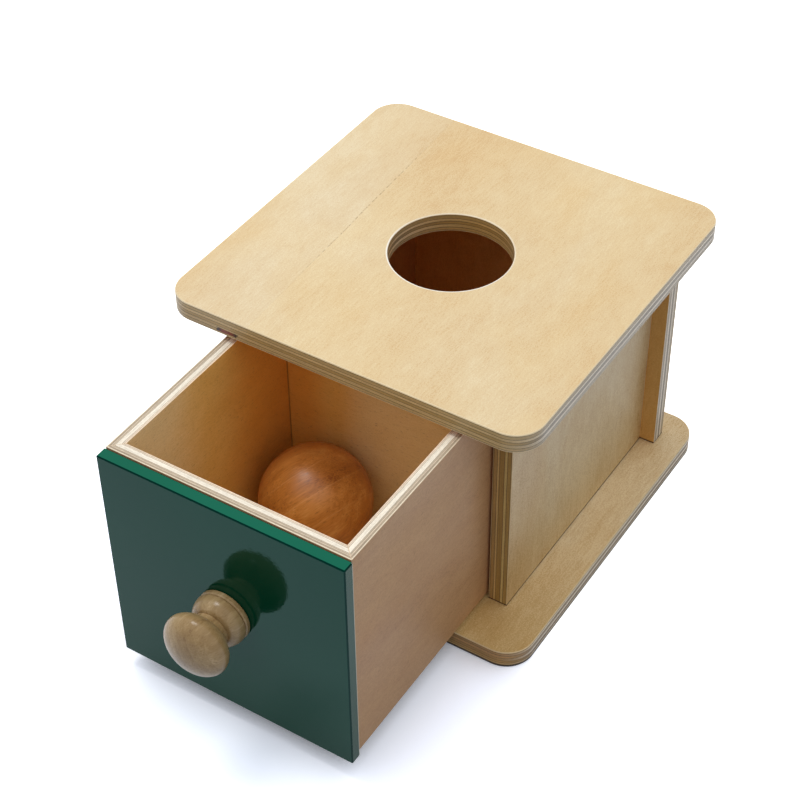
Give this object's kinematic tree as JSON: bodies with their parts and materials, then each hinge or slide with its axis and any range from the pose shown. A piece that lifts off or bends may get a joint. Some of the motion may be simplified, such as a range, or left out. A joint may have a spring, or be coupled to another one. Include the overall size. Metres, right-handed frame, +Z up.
{
  "type": "object permanence box",
  "caption": "Wooden toy box: a plywood case with a round ball hole in its top board, a sliding drawer with a painted face and turned knob, and a loose wooden ball.",
  "frame": {"origin": "centre of the base board's underside, which is the surface that the box stands on", "axes": "+Z up, -Y the way the drawer opens, +X to the right of someone facing the drawer"},
  "size_m": [0.2, 0.3256, 0.1542],
  "materials": {
    "case_plywood": "clear satin lacquer on pale plywood",
    "drawer_plywood": "clear satin lacquer on pale plywood",
    "green_paint": "gloss green paint on plywood",
    "turned_wood": "clear gloss lacquer on turned pale wood",
    "ball_wood": "satin red-brown stained wood",
    "dowel_wood": "bare wood",
    "screw_steel": "zinc plated"
  },
  "bodies": {
    "case": {"base_board": "case_plywood", "top_board": "case_plywood", "left_side_panel": "case_plywood", "right_side_panel": "case_plywood", "back_panel": "case_plywood", "base_dowels": "dowel_wood", "top_dowels": "dowel_wood", "back_dowels": "dowel_wood"},
    "drawer": {"drawer_front_wall": "drawer_plywood", "drawer_back_wall": "drawer_plywood", "drawer_left_wall": "drawer_plywood", "drawer_right_wall": "drawer_plywood", "drawer_bottom": "drawer_plywood", "drawer_face": "green_paint", "knob": "turned_wood", "knob_screw": "screw_steel"},
    "ball": {"ball": "ball_wood"}
  },
  "joints": [
    {"name": "drawer_slide", "type": "slide", "parent": "case", "child": "drawer", "axis": [0, 1, 0], "range_m": [-0.018, 0.1258]},
    {"name": "ball_roll", "type": "slide", "parent": "drawer", "child": "ball", "axis": [0, -1, 0], "range_m": [0, 0.061]}
  ]
}
